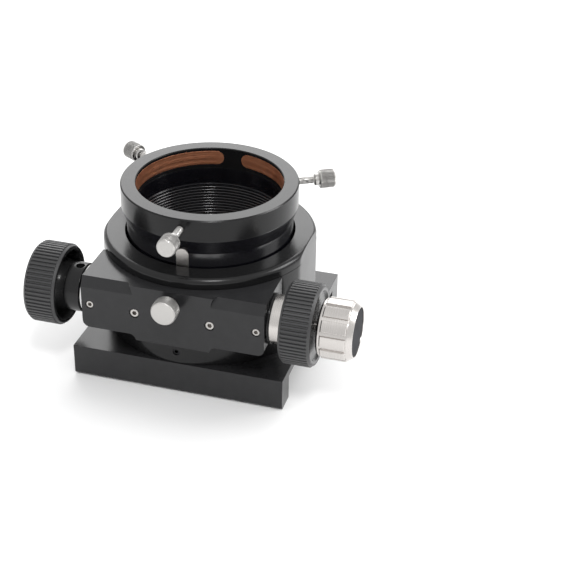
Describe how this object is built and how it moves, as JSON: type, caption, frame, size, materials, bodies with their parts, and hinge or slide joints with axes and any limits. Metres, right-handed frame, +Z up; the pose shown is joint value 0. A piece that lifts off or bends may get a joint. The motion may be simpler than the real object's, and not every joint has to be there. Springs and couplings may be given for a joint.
{
  "type": "telescope focuser",
  "caption": "Two-speed Crayford focuser: square base, round rotating body, sliding drawtube with a three-screw clamp, drive knobs on both sides.",
  "frame": {"origin": "On the optical axis, in the plane of the feet undersides.", "axes": "+Z up the optical axis out of the telescope, +X along the drive shaft towards the fine knob, -Y towards the drive housing and lock knob."},
  "size_m": [0.1688, 0.1294, 0.095],
  "materials": {
    "black_anodised": "satin black anodised",
    "black_steel": "black oxide",
    "steel": "fine brushed stainless",
    "nickel": "satin nickel, knurled",
    "silver_aluminium": "satin clear anodised",
    "copper_alloy": "satin phosphor bronze",
    "bronze": "sintered bronze",
    "grip_rubber": "matt ribbed",
    "nylon": "matt white"
  },
  "bodies": {
    "base": {"base_plate": "black_anodised", "base_ring": "black_anodised", "base_ring_screws": "black_steel"},
    "body": {"focuser_body": "black_anodised", "top_flange": "black_anodised", "drive_housing": "black_anodised", "housing_screws": "black_steel", "rotation_lock_screws": "black_steel", "bush_left": "bronze", "bush_right": "bronze", "bush_screws": "steel", "tension_screws": "steel", "tension_pads": "nylon", "thrust_washer": "nylon", "housing_ring": "black_anodised", "reducer_collar": "silver_aluminium", "reducer_race": "steel", "spring_washer": "steel", "bearing_pins": "steel"},
    "drawtube": {"drawtube": "black_anodised", "clamp_head": "black_anodised", "clamp_shoes": "copper_alloy", "drive_strip": "steel", "strip_screws": "steel", "stop_ring": "black_steel"},
    "coarse_drive": {"drive_shaft": "steel", "left_knob_core": "black_anodised", "left_knob_grip": "grip_rubber", "left_knob_cap": "black_anodised", "left_hub_screw": "black_steel", "coarse_knob_core": "black_anodised", "coarse_knob_grip": "grip_rubber", "ball_carrier": "steel", "reducer_balls": "steel"},
    "fine_drive": {"sun_shaft": "steel", "fine_knob": "silver_aluminium", "fine_knob_cap": "black_anodised", "fine_knob_screw": "black_steel"},
    "lock": {"lock_knob": "nickel", "lock_tip": "nylon"},
    "bearing_1": {"guide_bearing_1": "steel"},
    "bearing_2": {"guide_bearing_2": "steel"},
    "bearing_3": {"guide_bearing_3": "steel"},
    "bearing_4": {"guide_bearing_4": "steel"},
    "clamp_1": {"clamp_screw_1": "nickel"},
    "clamp_2": {"clamp_screw_2": "nickel"},
    "clamp_3": {"clamp_screw_3": "nickel"}
  },
  "joints": [
    {"name": "body_turn", "type": "hinge", "parent": "base", "child": "body", "pos_m": [0, 0, 0.0238], "axis": [0, 0, 1], "continuous": true},
    {"name": "coarse_focus", "type": "hinge", "parent": "body", "child": "coarse_drive", "pos_m": [0, -0.0465, 0.0476], "axis": [1, 0, 0], "range_deg": [-186, 364]},
    {"name": "drawtube_slide", "type": "slide", "parent": "body", "child": "drawtube", "axis": [0, 0, 1], "range_m": [-0.0098, 0.0192]},
    {"name": "fine_focus", "type": "hinge", "parent": "body", "child": "fine_drive", "pos_m": [0, -0.0465, 0.0476], "axis": [1, 0, 0], "range_deg": [-1861, 3641]},
    {"name": "lock_turn", "type": "hinge", "parent": "body", "child": "lock", "pos_m": [0, -0.073, 0.0564], "axis": [0, -1, 0], "range_deg": [-20, 360]},
    {"name": "bearing_1_roll", "type": "hinge", "parent": "body", "child": "bearing_1", "pos_m": [0.02755, 0.03935, 0.036], "axis": [-0.8192, 0.5736, 0], "range_deg": [-125, 244]},
    {"name": "bearing_2_roll", "type": "hinge", "parent": "body", "child": "bearing_2", "pos_m": [0.02755, 0.03935, 0.055], "axis": [-0.8192, 0.5736, 0], "range_deg": [-125, 244]},
    {"name": "bearing_3_roll", "type": "hinge", "parent": "body", "child": "bearing_3", "pos_m": [-0.02755, 0.03935, 0.036], "axis": [-0.8192, -0.5736, 0], "range_deg": [-125, 244]},
    {"name": "bearing_4_roll", "type": "hinge", "parent": "body", "child": "bearing_4", "pos_m": [-0.02755, 0.03935, 0.055], "axis": [-0.8192, -0.5736, 0], "range_deg": [-125, 244]},
    {"name": "clamp_1_turn", "type": "hinge", "parent": "drawtube", "child": "clamp_1", "pos_m": [0, -0.05, 0.0892], "axis": [0, -1, 0], "range_deg": [-30, 720]},
    {"name": "clamp_2_turn", "type": "hinge", "parent": "drawtube", "child": "clamp_2", "pos_m": [0.0433, 0.025, 0.0892], "axis": [0.866, 0.5, 0], "range_deg": [-30, 720]},
    {"name": "clamp_3_turn", "type": "hinge", "parent": "drawtube", "child": "clamp_3", "pos_m": [-0.0433, 0.025, 0.0892], "axis": [-0.866, 0.5, 0], "range_deg": [-30, 720]}
  ],
  "couplings": [
    {"joint": "drawtube_slide", "follows": "coarse_focus", "m_per_rad": 0.003},
    {"joint": "fine_focus", "follows": "coarse_focus", "ratio": 10},
    {"joint": "bearing_1_roll", "follows": "coarse_focus", "ratio": 0.66667},
    {"joint": "bearing_2_roll", "follows": "coarse_focus", "ratio": 0.66667},
    {"joint": "bearing_3_roll", "follows": "coarse_focus", "ratio": 0.66667},
    {"joint": "bearing_4_roll", "follows": "coarse_focus", "ratio": 0.66667}
  ]
}
